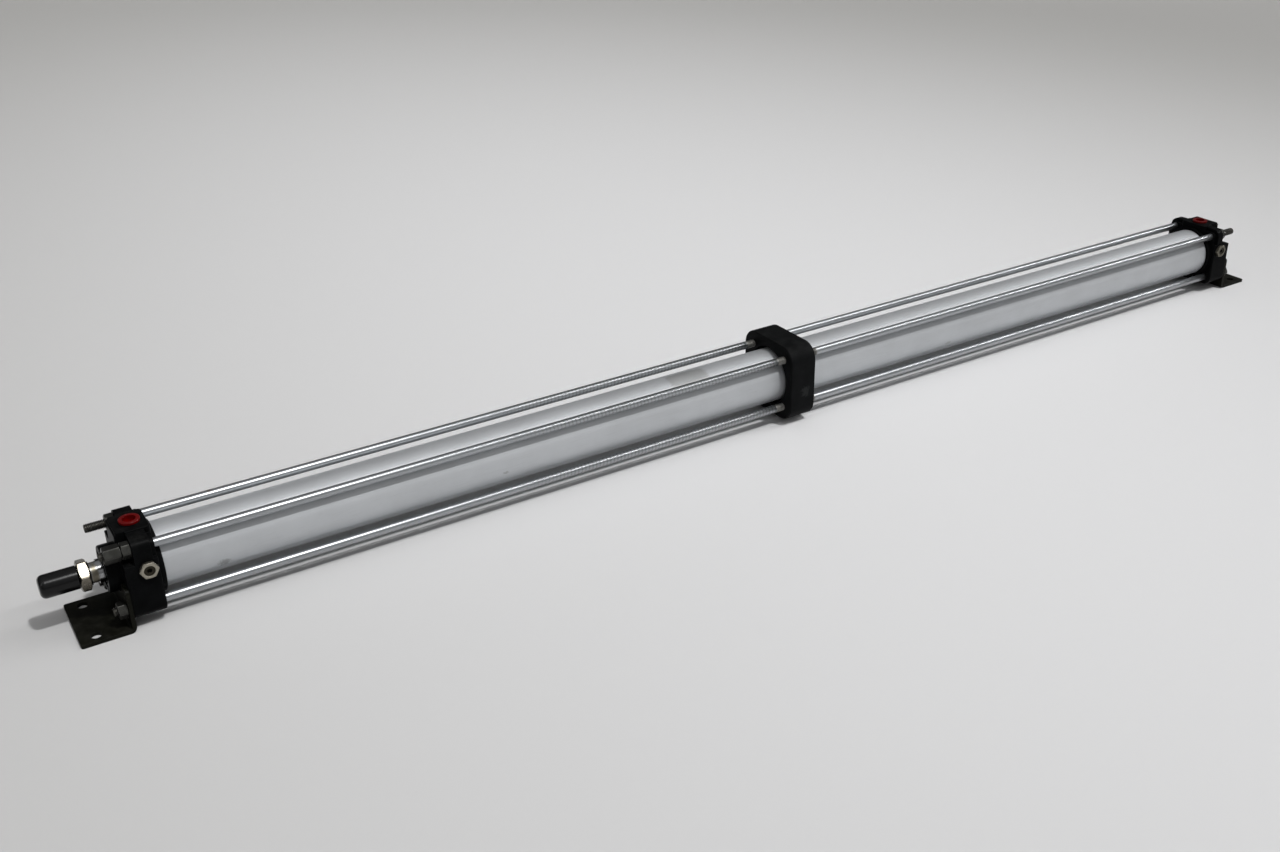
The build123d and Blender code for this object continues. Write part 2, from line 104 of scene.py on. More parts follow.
@dataclass(eq=False)
class Signal:
    """A value that flows between nodes, with arithmetic that adds Math nodes."""

    graph: "Graph"
    socket: bpy.types.NodeSocket

    __add__ = arithmetic("ADD")
    __sub__ = arithmetic("SUBTRACT")
    __rsub__ = arithmetic("SUBTRACT", swapped=True)
    __mul__ = arithmetic("MULTIPLY")
    __truediv__ = arithmetic("DIVIDE")
    __mod__ = arithmetic("FLOORED_MODULO")

    def above(self, limit: Any) -> "Signal":
        """1 where the value is over the limit, else 0."""
        return self.graph.math("GREATER_THAN", self, limit)


@dataclass(eq=False)
class Graph:
    """Adds and links the nodes of one shader or geometry tree."""

    tree: bpy.types.NodeTree

    def node(self, kind: str, inputs: dict | None = None, **settings: Any) -> bpy.types.Node:
        """Add one node.

        Args:
            kind: type name of the node.
            inputs: values or signals by the name or number of the input.
            settings: the node's own properties.

        Returns:
            The new node.
        """
        node = self.tree.nodes.new(kind)
        for name, value in settings.items():
            setattr(node, name, value)
        for key, value in (inputs or {}).items():
            self.feed(node.inputs[key], value)
        return node

    def feed(self, socket: bpy.types.NodeSocket, value: Any) -> None:
        """Give an input a signal or a plain value."""
        if isinstance(value, Signal):
            self.tree.links.new(value.socket, socket)
        else:
            socket.default_value = value

    def out(self, node: bpy.types.Node, key: int | str = 0) -> Signal:
        """One output of a node as a signal."""
        return Signal(self, node.outputs[key])

    def get(
        self, kind: str, inputs: dict | None = None, key: int | str = 0, **settings: Any
    ) -> Signal:
        """Add one node and take one of its outputs."""
        return self.out(self.node(kind, inputs, **settings), key)

    def math(self, operation: str, *values: Any, clamp: bool = False) -> Signal:
        """Add a Math node.

        Args:
            operation: the operation's name.
            values: its inputs in order.
            clamp: whether the result is kept between 0 and 1.

        Returns:
            The result.
        """
        inputs = dict(enumerate(values))
        return self.get("ShaderNodeMath", inputs, operation=operation, use_clamp=clamp)

    def ramp(
        self, value: Any, low: float, high: float, start: float = 0.0, stop: float = 1.0
    ) -> Signal:
        """Smooth step of a value.

        Args:
            value: the signal to map.
            low: value at which the step begins.
            high: value at which it ends.
            start: result at the beginning.
            stop: result at the end.

        Returns:
            The mapped signal.
        """
        inputs = {
            "Value": value, "From Min": low, "From Max": high, "To Min": start, "To Max": stop,
        }
        return self.get("ShaderNodeMapRange", inputs, interpolation_type="SMOOTHSTEP")

    def blend(self, factor: Any, first: Any, second: Any) -> Signal:
        """Mix of two colours, given as colours or signals."""
        inputs = {0: factor, 6: opaque(first), 7: opaque(second)}
        return self.get("ShaderNodeMix", inputs, key=2, data_type="RGBA")

    def split(self, vector: Any) -> tuple[Signal, Signal, Signal]:
        """The three parts of a vector."""
        node = self.node("ShaderNodeSeparateXYZ", {0: vector})
        return self.out(node, 0), self.out(node, 1), self.out(node, 2)

    def join(self, x: Any, y: Any, z: Any) -> Signal:
        """A vector made of three parts."""
        return self.get("ShaderNodeCombineXYZ", {0: x, 1: y, 2: z})

    def vector(self, operation: str, *values: Any, key: int | str = 0) -> Signal:
        """Add a Vector Math node and take one of its outputs."""
        inputs = dict(enumerate(values))
        return self.get("ShaderNodeVectorMath", inputs, key, operation=operation)

    def place(self) -> Signal:
        """Object coordinates, in metres."""
        return self.get("ShaderNodeTexCoord", key="Object")

    def noise(self, vector: Any, scale: Any, detail: float = 2.0, roughness: float = 0.5) -> Signal:
        """Noise between about 0 and 1."""
        inputs = {"Vector": vector, "Scale": scale, "Detail": detail, "Roughness": roughness}
        return self.get("ShaderNodeTexNoise", inputs)

    def use(self, group: bpy.types.NodeTree, inputs: dict) -> bpy.types.Node:
        """Place a node group of the same kind of tree.

        Args:
            group: the group's tree.
            inputs: its inputs by name.

        Returns:
            The group node.
        """
        shading = isinstance(self.tree, bpy.types.ShaderNodeTree)
        kind = "ShaderNodeGroup" if shading else "GeometryNodeGroup"
        return self.node(kind, inputs, node_tree=group)


def show(thing: bpy.types.Object) -> None:
    """Put an object into the scene."""
    bpy.context.scene.collection.objects.link(thing)


def opaque(colour: Any) -> Any:
    """A plain colour with its alpha, or the signal as it is."""
    return colour if isinstance(colour, Signal) else (*colour, 1.0)


def new_group(
    name: str, kind: str, inputs: dict, outputs: dict
) -> tuple[Graph, dict, bpy.types.Node]:
    """Start a node group.

    Args:
        name: the group's name.
        kind: ShaderNodeTree or GeometryNodeTree.
        inputs: default value by input name, a number or a vector.
        outputs: socket kind by output name.

    Returns:
        The group's graph, its inputs as signals by name, and its output node.
    """
    tree = bpy.data.node_groups.new(name, kind)
    for label, default in inputs.items():
        socket_kind = NUMBER if isinstance(default, float) else DIRECTION
        socket = tree.interface.new_socket(label, in_out="INPUT", socket_type=socket_kind)
        socket.default_value = default
    for label, socket_kind in outputs.items():
        tree.interface.new_socket(label, in_out="OUTPUT", socket_type=socket_kind)
    graph = Graph(tree)
    entry = graph.node("NodeGroupInput")
    leave = graph.node("NodeGroupOutput")
    signals = {label: graph.out(entry, label) for label in inputs}
    return graph, signals, leave


def shader_group(name: str, inputs: dict, outputs: dict) -> tuple[Graph, dict, bpy.types.Node]:
    """Start a group of shader nodes."""
    return new_group(name, "ShaderNodeTree", inputs, outputs)


def shape_group(name: str, inputs: dict) -> tuple[Graph, dict, bpy.types.Node]:
    """Start a group of geometry nodes that puts out one shape."""
    return new_group(name, "GeometryNodeTree", inputs, {"Geometry": SHAPE})


def in_metres(owner: Any, *fields: str) -> dict[str, float]:
    """Lengths of a sub-assembly in metres, by input name, such as Tip Radius for tip_radius."""
    return {name.replace("_", " ").title(): getattr(owner, name) * MM for name in fields}


def even(value: float) -> Triple:
    """The same number three times, for a grey or for grains alike on all axes."""
    return (value, value, value)


class Effects:
    """Surface effects that several finishes share, each built once as a shader group."""

    def __init__(self) -> None:
        self.edge_rub = self.make_edge_rub()
        self.grain = self.make_grain()
        self.settled_dust = self.make_settled_dust()
        self.scratches = self.make_scratches()
        self.blemish = self.make_blemish()

    def make_edge_rub(self) -> bpy.types.NodeTree:
        """Rounded normal near edges, and a broken mask where the edges are rubbed."""
        inputs = {"Radius": 0.0005, "Break Up": 900.0}
        outputs = {"Mask": NUMBER, "Normal": DIRECTION}
        graph, given, leave = shader_group("edge_rub", inputs, outputs)
        rounded = graph.get("ShaderNodeBevel", {"Radius": given["Radius"]}, samples=6)
        plain = graph.get("ShaderNodeNewGeometry", key="Normal")
        turned = 1.0 - graph.vector("DOT_PRODUCT", rounded, plain, key="Value")
        patches = graph.noise(graph.place(), given["Break Up"], detail=3.0)
        broken = graph.ramp(patches, low=0.36, high=0.62, start=0.25)
        mask = graph.ramp(turned, low=0.004, high=0.16) * broken
        graph.feed(leave.inputs["Mask"], mask)
        graph.feed(leave.inputs["Normal"], rounded)
        return graph.tree

    def make_grain(self) -> bpy.types.NodeTree:
        """Fine unevenness, with its own number of grains per metre along each axis."""
        inputs = {"Grains": even(1000.0), "Detail": 2.0}
        graph, given, leave = shader_group("grain", inputs, {"Value": NUMBER})
        stretched = graph.vector("MULTIPLY", graph.place(), given["Grains"])
        graph.feed(leave.inputs["Value"], graph.noise(stretched, 1.0, given["Detail"]))
        return graph.tree

    def make_settled_dust(self) -> bpy.types.NodeTree:
        """Dust that lies in patches on what faces up."""
        inputs = {"Amount": 0.2, "Scale": 120.0}
        graph, given, leave = shader_group("settled_dust", inputs, {"Mask": NUMBER})
        facing = graph.get("ShaderNodeTexCoord", key="Normal")
        up = graph.ramp(graph.split(facing)[2], low=0.25, high=0.95)
        cloud = graph.noise(graph.place(), given["Scale"], detail=6.0, roughness=0.65)
        patches = graph.ramp(cloud, low=0.40, high=0.72)
        specks = graph.ramp(graph.noise(graph.place(), 2600.0), low=0.60, high=0.74)
        mask = up * (patches + specks * 0.7) * given["Amount"]
        graph.feed(leave.inputs["Mask"], mask)
        return graph.tree

    def make_scratches(self) -> bpy.types.NodeTree:
        """Thin marks that run mostly along the cylinder."""
        inputs = {"Fineness": 900.0, "Length": 14.0}
        graph, given, leave = shader_group("scratches", inputs, {"Mask": NUMBER})
        x, y, z = graph.split(graph.place())
        length, fine = given["Length"], given["Fineness"]
        along = graph.join(x * length, y * fine, z * fine)
        skewed = graph.join((x + z * 0.35) * length, (y - x * 0.06) * fine, (z - x * 0.05) * fine)
        first = graph.ramp(graph.noise(along, 1.0, detail=1.0), low=0.66, high=0.73)
        second = graph.ramp(graph.noise(skewed, 1.3, detail=0.0), low=0.69, high=0.75)
        graph.feed(leave.inputs["Mask"], graph.math("MAXIMUM", first, second))
        return graph.tree

    def make_blemish(self) -> bpy.types.NodeTree:
        """One ragged spot with a soft rim, used for stains and for painted light and shade."""
        inputs = {
            "Centre": even(0.0), "Half Size": even(0.01),
            "Raggedness": 0.5, "Scale": 400.0,
        }
        graph, given, leave = shader_group("blemish", inputs, {"Mask": NUMBER})
        away = graph.vector("SUBTRACT", graph.place(), given["Centre"])
        scaled = graph.vector("DIVIDE", away, given["Half Size"])
        reach = graph.vector("LENGTH", scaled, key="Value")
        cloud = graph.noise(graph.place(), given["Scale"], detail=4.0, roughness=0.6)
        ragged = reach + (cloud - 0.5) * given["Raggedness"] * 4.0
        graph.feed(leave.inputs["Mask"], graph.ramp(ragged, low=1.15, high=0.45))
        return graph.tree


@dataclass(frozen=True)
class Mark:
    """A ragged spot of another colour on a finish; some are stains and wear, and those whose
    comment says so are painted light and shade.

    Lengths are millimetres in the frame of the parts.
    """

    centre: Triple
    half_size: Triple
    colour: Colour
    strength: float = 0.8
    raggedness: float = 0.5
    scale: float = 400.0


@dataclass(frozen=True)
class Finish:
    """A surface finish; each part of it is given in plain numbers."""

    name: str
    colour: Colour
    roughness: float
    metallic: float = 0.0
    mottle: float = 0.08
    mottle_scale: float = 45.0
    grains: Triple = (1400.0, 1400.0, 1400.0)
    grain_depth: float = 0.01
    roughness_spread: float = 0.10
    edge_radius: float = 0.4
    edge_colour: Colour = (0.2, 0.2, 0.2)
    edge_amount: float = 0.4
    dust: float = 0.05
    dust_colour: Colour = (0.42, 0.41, 0.38)
    scratch: float = 0.0
    scratch_colour: Colour = (0.5, 0.5, 0.5)
    specular: float = 0.5
    marks: tuple[Mark, ...] = ()

    def own_colour(self, graph: Graph, colour: Signal) -> Signal:
        """Change the colour before marks, edges and dust; plain finishes leave it."""
        return colour

    def own_roughness(self, graph: Graph, roughness: Signal) -> Signal:
        """Change the roughness before dust; plain finishes leave it."""
        return roughness

    def own_height(self, graph: Graph) -> Signal | None:
        """Relief in metres besides the grain, if the finish has one."""
        return None

    def material(self, effects: Effects) -> bpy.types.Material:
        """Build the finish as a material.

        Args:
            effects: the shared surface effects.

        Returns:
            The new material.
        """
        made = bpy.data.materials.new(self.name)
        made.use_nodes = True
        graph = Graph(made.node_tree)
        shader = made.node_tree.nodes["Principled BSDF"]

        cloud = graph.noise(graph.place(), self.mottle_scale, detail=5.0, roughness=0.6)
        low = tuple(part * (1 - self.mottle) for part in self.colour)
        high = tuple(min(1.0, part * (1 + self.mottle)) for part in self.colour)
        colour = self.own_colour(graph, graph.blend(graph.ramp(cloud, 0.3, 0.7), low, high))
        grain = graph.out(graph.use(effects.grain, {"Grains": self.grains, "Detail": 3.0}), "Value")
        roughness = (grain - 0.5) * self.roughness_spread * 2.0 + self.roughness
        roughness = self.own_roughness(graph, roughness)

        for mark in self.marks:
            spot = graph.use(effects.blemish, {
                "Centre": tuple(part * MM for part in mark.centre),
                "Half Size": tuple(part * MM for part in mark.half_size),
                "Raggedness": mark.raggedness, "Scale": mark.scale,
            })
            share = graph.out(spot, "Mask") * mark.strength
            colour = graph.blend(share, colour, mark.colour)
            roughness = roughness + share * 0.25
        if self.scratch:
            lines = graph.out(graph.use(effects.scratches, {}), "Mask") * self.scratch
            colour = graph.blend(lines, colour, self.scratch_colour)
            roughness = roughness + lines * 0.15
        edge = graph.use(effects.edge_rub, {"Radius": self.edge_radius * MM})
        colour = graph.blend(graph.out(edge, "Mask") * self.edge_amount, colour, self.edge_colour)
        dust = graph.out(graph.use(effects.settled_dust, {"Amount": self.dust}), "Mask")
        colour = graph.blend(dust, colour, self.dust_colour)
        roughness = graph.math("ADD", roughness, dust * 0.5, clamp=True)

        height = grain * (self.grain_depth * MM)
        relief = self.own_height(graph)
        if relief is not None:
            height = height + relief
        bump = graph.get("ShaderNodeBump", {
            "Strength": 1.0, "Distance": 1.0, "Height": height, "Normal": graph.out(edge, "Normal"),
        })
        graph.feed(shader.inputs["Base Color"], colour)
        graph.feed(shader.inputs["Roughness"], roughness)
        graph.feed(shader.inputs["Normal"], bump)
        shader.inputs["Metallic"].default_value = self.metallic
        shader.inputs["Specular IOR Level"].default_value = self.specular
        return made


@dataclass(frozen=True)
class PlatedRodFinish(Finish):
    """Bright plating on the tie rods, with faint winding marks and dull threads."""

    axis_height: float = AXIS_HEIGHT
    half_pitch: float = HALF_PITCH
    wind_pitch: float = 3.9
    wind_depth: float = 0.03
    wind_colour: Colour = (0.15, 0.155, 0.15)
    wind_from: float = -345.0
    wind_to: float = -20.0
    shank_radius: float = 3.97
    dull_colour: Colour = (0.20, 0.19, 0.165)
    dull_to: float = 26.0
    stud_colour: Colour = (0.060, 0.058, 0.050)
    stud_from: float = 657.0

    def off_axis(self, graph: Graph) -> tuple[Signal, Signal, Signal]:
        """X, and the two distances from the nearest rod's axis, in metres."""
        x, y, z = graph.split(graph.place())
        across = graph.math("ABSOLUTE", y) - self.half_pitch * MM
        level = graph.math("ABSOLUTE", z - self.axis_height * MM) - self.half_pitch * MM
        return x, across, level

    def dullness(self, graph: Graph) -> Signal:
        """Mask of the thread grooves and of the bare threads at the ring."""
        x, across, level = self.off_axis(graph)
        radius = graph.math("SQRT", across * across + level * level)
        crest, bottom = self.shank_radius - 0.1, self.shank_radius - 0.55
        grooves = graph.ramp(radius, crest * MM, bottom * MM)
        from_ring = graph.math("ABSOLUTE", x)
        at_ring = graph.ramp(from_ring, self.dull_to * MM, (self.dull_to - 2.5) * MM)
        return graph.math("MAXIMUM", grooves * 0.8, at_ring * 0.75, clamp=True)

    def own_colour(self, graph: Graph, colour: Signal) -> Signal:
        """Grooves hold dirt, and the threads at the ring and on the studs have lost their shine."""
        from_ring = graph.math("ABSOLUTE", graph.split(graph.place())[0])
        stud = graph.ramp(from_ring, self.stud_from * MM, (self.stud_from + 1.0) * MM)
        wave = graph.ramp(self.winding(graph), 0.1, 0.8) * 0.5
        wound = graph.blend(wave, colour, self.wind_colour)
        dulled = graph.blend(self.dullness(graph), wound, self.dull_colour)
        return graph.blend(stud, dulled, self.stud_colour)

    def own_roughness(self, graph: Graph, roughness: Signal) -> Signal:
        """The dull threads are rougher."""
        return roughness + self.dullness(graph) * 0.3

    def winding(self, graph: Graph) -> Signal:
        """Wave round the rod where the rolls left a mark, strongest before the ring."""
        x, across, level = self.off_axis(graph)
        turn = graph.math("ARCTAN2", level, across) / math.tau
        wave = graph.math("SINE", (x / (self.wind_pitch * MM) + turn) * math.tau)
        rise = graph.ramp(x, self.wind_from * MM, (self.wind_from + 120.0) * MM, 0.15, 1.0)
        fall = graph.ramp(x, self.wind_to * MM, (self.wind_to + 60.0) * MM, 1.0, 0.0)
        return wave * rise * fall

    def own_height(self, graph: Graph) -> Signal:
        """The winding mark is shallow."""
        return self.winding(graph) * (self.wind_depth * MM)


@dataclass(frozen=True)
class ThreadedSteelFinish(Finish):
    """Round bar about one axis along X, with dirt in what lies below a given radius."""

    axis_height: float = AXIS_HEIGHT
    clean_r: float = 8.0
    groove_depth: float = 0.7
    groove_colour: Colour = (0.05, 0.045, 0.04)

    def own_colour(self, graph: Graph, colour: Signal) -> Signal:
        """Grooves of the thread are darker."""
        x, y, z = graph.split(graph.place())
        level = z - self.axis_height * MM
        radius = graph.math("SQRT", y * y + level * level)
        depth = graph.ramp(radius, self.clean_r * MM, (self.clean_r - self.groove_depth) * MM)
        return graph.blend(depth * 0.8, colour, self.groove_colour)


FINISHES: dict[str, Finish] = {finish.name: finish for finish in (
    Finish(
        "anodised_tube", (0.53, 0.545, 0.562), 0.54, metallic=0.72, mottle=0.035, mottle_scale=22.0,
        grains=(18.0, 2600.0, 2600.0), grain_depth=0.0035, roughness_spread=0.05, edge_radius=0.3,
        edge_colour=(0.75, 0.75, 0.76), dust=0.06, scratch=0.14, scratch_colour=(0.42, 0.42, 0.43),
        marks=(
            Mark((-588.0, -24.5, 33.5), (6.0, 8.0, 4.0), (0.22, 0.22, 0.21), 0.55),
            Mark((-330.0, -26.0, 39.0), (3.0, 4.0, 1.6), (0.30, 0.30, 0.29), 0.5),
            Mark((212.0, -25.0, 34.0), (5.0, 5.0, 2.2), (0.32, 0.32, 0.31), 0.4),
        ),
    ),
    Finish(
        "matt_black_ring", (0.0046, 0.0050, 0.0053), 0.56, specular=0.04, mottle=0.25,
        mottle_scale=80.0, grains=even(1500.0), grain_depth=0.035, edge_radius=0.7,
        edge_colour=(0.02, 0.02, 0.021), dust=0.01,
        marks=(
            Mark((3.0, -40.0, 37.0), (6.0, 3.0, 6.0), (0.04, 0.042, 0.042), 0.35, 0.9, 420.0),
        ),
    ),
    Finish(
        "black_cover", (0.0030, 0.0032, 0.0034), 0.36, specular=0.02, mottle=0.25,
        mottle_scale=70.0, grains=even(1100.0), grain_depth=0.02, edge_radius=0.6,
        edge_colour=(0.022, 0.022, 0.023), dust=0.01,
    ),
    Finish(
        "foot_paint", (0.0052, 0.0052, 0.0034), 0.42, specular=0.06, mottle=0.30, mottle_scale=60.0,
        grains=even(900.0), grain_depth=0.015, roughness_spread=0.12, edge_radius=0.5,
        edge_colour=(0.025, 0.025, 0.02), edge_amount=0.35, dust=0.015, scratch=0.05,
        scratch_colour=(0.05, 0.05, 0.04),
    ),
    PlatedRodFinish(
        "zinc_rod", (0.385, 0.40, 0.415), 0.31, metallic=1.0, mottle=0.05, mottle_scale=30.0,
        grains=(2600.0, 50.0, 50.0), grain_depth=0.006, roughness_spread=0.06, edge_radius=0.2,
        edge_colour=even(0.8), edge_amount=0.3, scratch=0.10,
        marks=(
            Mark((-580.0, 26.0, 75.0), (3.0, 2.5, 2.5), (0.16, 0.10, 0.06), 0.6, 0.9, 700.0),
        ),
    ),
    Finish(
        "dark_nut_steel", (0.055, 0.055, 0.05), 0.32, metallic=0.9, mottle=0.20, mottle_scale=120.0,
        grains=even(1200.0), grain_depth=0.012, roughness_spread=0.12, edge_radius=0.25,
        edge_colour=(0.35, 0.35, 0.34), edge_amount=0.5, dust=0.03,
    ),
    Finish(
        "plain_steel", (0.36, 0.36, 0.35), 0.30, metallic=1.0, mottle_scale=90.0, grain_depth=0.006,
        edge_radius=0.2, edge_colour=even(0.7), dust=0.03, scratch=0.10,
    ),
    Finish(
        "nickel_nut", (0.21, 0.19, 0.155), 0.24, metallic=1.0, mottle=0.14, mottle_scale=70.0,
        grains=even(900.0), grain_depth=0.008, roughness_spread=0.12, edge_radius=0.35,
        edge_colour=(0.55, 0.53, 0.48), edge_amount=0.5, dust=0.03, scratch=0.12,
        scratch_colour=(0.35, 0.34, 0.32),
        marks=(
            # Painted light: the front needle lock nut is painted lighter as a highlight and the
            # rear one darker as shade; both are the same nickel part.
            Mark((-648.8, -38.0, 54.2), (10.0, 9.0, 10.0), (0.40, 0.375, 0.31), 0.9, 0.1, 300.0),
            Mark((648.8, -38.0, 54.2), (10.0, 9.0, 10.0), (0.13, 0.122, 0.095), 0.9, 0.1, 300.0),
        ),
    ),
    Finish(
        "needle_steel", (0.030, 0.026, 0.018), 0.24, metallic=0.9, mottle=0.15, mottle_scale=200.0,
        grains=even(1500.0), grain_depth=0.008, edge_radius=0.2, edge_colour=(0.12, 0.11, 0.09),
        edge_amount=0.3, dust=0.01,
    ),
    ThreadedSteelFinish(
        "chrome_rod", (0.30, 0.305, 0.315), 0.14, metallic=1.0, mottle=0.05, mottle_scale=40.0,
        grains=(900.0, 300.0, 300.0), grain_depth=0.0015, roughness_spread=0.05, edge_radius=0.3,
        edge_colour=even(0.8), dust=0.03,
        marks=(
            # Painted reflection: a brown tint painted on the wrench flats for the warm reflection
            # they show.
            Mark((-685.2, -8.0, 45.0), (3.6, 16.0, 16.0), (0.13, 0.115, 0.082), 0.9, 0.2, 300.0),
        ),
    ),
    Finish(
        "piston_aluminium", even(0.62), 0.32, metallic=1.0, mottle=0.05, mottle_scale=60.0,
        grains=(3500.0, 60.0, 60.0), grain_depth=0.006, roughness_spread=0.08, edge_radius=0.3,
        edge_colour=even(0.8), dust=0.02,
    ),
    Finish(
        "bronze_bush", (0.46, 0.28, 0.12), 0.36, metallic=1.0, mottle=0.10, mottle_scale=120.0,
        grains=(3000.0, 900.0, 900.0), edge_radius=0.2, edge_colour=(0.7, 0.48, 0.25), dust=0.02,
    ),
    Finish(
        "seal_rubber", even(0.018), 0.55, mottle=0.15, mottle_scale=120.0, grains=even(2200.0),
        grain_depth=0.012, roughness_spread=0.08, edge_radius=0.3, edge_colour=even(0.04),
        dust=0.06,
    ),
    Finish(
        "wear_ring_plastic", (0.045, 0.09, 0.085), 0.45, mottle=0.10, mottle_scale=90.0,
        grains=(3000.0, 500.0, 500.0), grain_depth=0.008, roughness_spread=0.08, edge_radius=0.2,
        edge_colour=(0.10, 0.16, 0.15), dust=0.03,
    ),
    Finish(
        "black_cap", (0.0010, 0.0010, 0.0013), 0.21, specular=0.28, mottle=0.12, mottle_scale=60.0,
        grains=even(500.0), grain_depth=0.006, roughness_spread=0.05,
        edge_colour=(0.01, 0.01, 0.011), edge_amount=0.3, dust=0.015, scratch=0.03,
        scratch_colour=even(0.05),
    ),
    Finish(
        "red_plug", (0.10, 0.0006, 0.0008), 0.30, specular=0.2, mottle=0.12, mottle_scale=90.0,
        grains=even(600.0), grain_depth=0.006, roughness_spread=0.05, edge_radius=0.35,
        edge_colour=(0.24, 0.01, 0.01), dust=0.01,
        marks=(
            # Painted light: a brighter red painted into each plug's recess to lift the shade that
            # falls there.
            Mark((-650.5, 0.0, 78.0), (5.6, 5.6, 6.0), (0.55, 0.001, 0.001), 1.0, 0.1, 200.0),
            Mark((650.5, 0.0, 78.0), (5.6, 5.6, 6.0), (0.55, 0.001, 0.001), 1.0, 0.1, 200.0),
        ),
    ),
    Finish(
        "label_film", (0.56, 0.57, 0.575), 0.33, metallic=0.75, mottle=0.04, mottle_scale=60.0,
        grains=even(1200.0), grain_depth=0.003, roughness_spread=0.08, edge_radius=0.1,
        edge_colour=even(0.4), edge_amount=0.5, scratch=0.10, scratch_colour=even(0.40),
    ),
)}


class TurnedShapes:
    """Geometry groups for bars, threads and nuts that lie along X."""

    def __init__(self) -> None:
        self.zone = self.make_zone()
        self.thread = self.make_thread()
        self.nut = self.make_nut()

    @staticmethod
    def sheet_of_rows(graph: Graph, rows: Any, columns: Signal) -> tuple[Signal, Signal, Signal]:
        """Start a grid that a formula rolls into a tube.

        Args:
            graph: the geometry graph.
            rows: how many rows of points run round the tube.
            columns: how many faces lie in a row.

        Returns:
            The grid, each point's row and each point's share of a full turn.
        """
        across = columns + 1
        mesh = graph.get("GeometryNodeMeshGrid", {"Vertices X": rows, "Vertices Y": across})
        index = graph.get("GeometryNodeInputIndex")
        return mesh, graph.math("FLOOR", index / across), (index % across) / columns

    @staticmethod
    def roll(
        graph: Graph, leave: bpy.types.Node, mesh: Signal, x: Signal, radius: Signal, share: Signal
    ) -> None:
        """Place the grid's points round the X axis and hand the mesh out."""
        angle = share * math.tau
        across, up = graph.math("COSINE", angle), graph.math("SINE", angle)
        place = graph.join(x, radius * across, radius * up)
        moved = graph.get("GeometryNodeSetPosition", {"Geometry": mesh, "Position": place})
        graph.feed(leave.inputs["Geometry"], moved)

    @staticmethod
    def pick(graph: Graph, row: Signal, values: list) -> Signal:
        """Choose one of several values by the row's number."""
        node = graph.node("GeometryNodeIndexSwitch", data_type="FLOAT")
        while len(node.index_switch_items) < len(values):
            node.index_switch_items.new()
        graph.feed(node.inputs[0], row)
        for number, value in enumerate(values):
            graph.feed(node.inputs[number + 1], value)
        return graph.out(node)

    def make_zone(self) -> bpy.types.NodeTree:
        """Plain or tapered length of bar, with two flats where asked."""
        inputs = {
            "Start": 0.0, "End": 0.01, "Start Radius": 0.004, "End Radius": 0.004,
            "Start Flat": 1.0, "End Flat": 1.0, "Flat Turn": 0.0, "Columns": 32.0,
        }
        graph, given, leave = shape_group("bar_zone", inputs)
        mesh, row, share = self.sheet_of_rows(graph, 2, given["Columns"])
        x = given["Start"] + (given["End"] - given["Start"]) * row
        turn = share * math.tau - given["Flat Turn"]
        facing = graph.math("ABSOLUTE", graph.math("COSINE", turn))
        facing = graph.math("MAXIMUM", facing, LEAST_COSINE)
        first = graph.math("MINIMUM", given["Start Radius"], given["Start Flat"] / facing)
        second = graph.math("MINIMUM", given["End Radius"], given["End Flat"] / facing)
        self.roll(graph, leave, mesh, x, first + (second - first) * row, share)
        return graph.tree

    def make_thread(self) -> bpy.types.NodeTree:
        """Right-handed screw thread, fading to a plain radius at both of its ends."""
        inputs = {
            "Start": 0.0, "End": 0.01, "Pitch": 0.00125, "Crest Radius": 0.00394,
            "Root Radius": 0.0033, "Start Radius": 0.004, "End Radius": 0.00305,
            "Start Run Out": 0.0015, "End Run Out": 0.0008, "Columns": 32.0,
        }
        graph, given, leave = shape_group("bar_thread", inputs)
        turns = graph.math("CEIL", (given["End"] - given["Start"]) / given["Pitch"]) + 2.0
        mesh, row, share = self.sheet_of_rows(graph, turns * 4.0 + 1.0, given["Columns"])
        # Four rows a turn: along the crest, down the flank, along the root, and up again.
        step = row % 4.0
        along = step.above(0.5) * 0.125 + step.above(1.5) * 0.3125 + step.above(2.5) * 0.25
        laps = graph.math("FLOOR", row / 4.0) + along + share - 1.0
        free = given["Start"] + laps * given["Pitch"]
        x = graph.math("MINIMUM", graph.math("MAXIMUM", free, given["Start"]), given["End"])
        crest = given["Crest Radius"]
        profile = crest + (given["Root Radius"] - crest) * step.above(1.5)
        begun = graph.math("DIVIDE", x - given["Start"], given["Start Run Out"], clamp=True)
        left = graph.math("DIVIDE", given["End"] - x, given["End Run Out"], clamp=True)
        radius = given["Start Radius"] + (profile - given["Start Radius"]) * begun
        radius = given["End Radius"] + (radius - given["End Radius"]) * left
        self.roll(graph, leave, mesh, x, radius, share)
        return graph.tree

    def plain(
        self, graph: Graph, ends: tuple[Any, Any], radii: tuple[Any, Any], others: dict[str, Any]
    ) -> Signal:
        """Place a plain length of bar, with its other inputs by name."""
        return graph.out(graph.use(self.zone, {
            "Start": ends[0], "End": ends[1], "Start Radius": radii[0], "End Radius": radii[1],
            **others,
        }))

    def threaded(
        self, graph: Graph, ends: tuple[Any, Any], radii: tuple[Any, Any],
        run_outs: tuple[Any, Any], screw: dict[str, Any]
    ) -> Signal:
        """Place a threaded length of bar, which fades at each end over its run-out."""
        return graph.out(graph.use(self.thread, {
            "Start": ends[0], "End": ends[1], "Start Radius": radii[0], "End Radius": radii[1],
            "Start Run Out": run_outs[0], "End Run Out": run_outs[1], **screw,
        }))

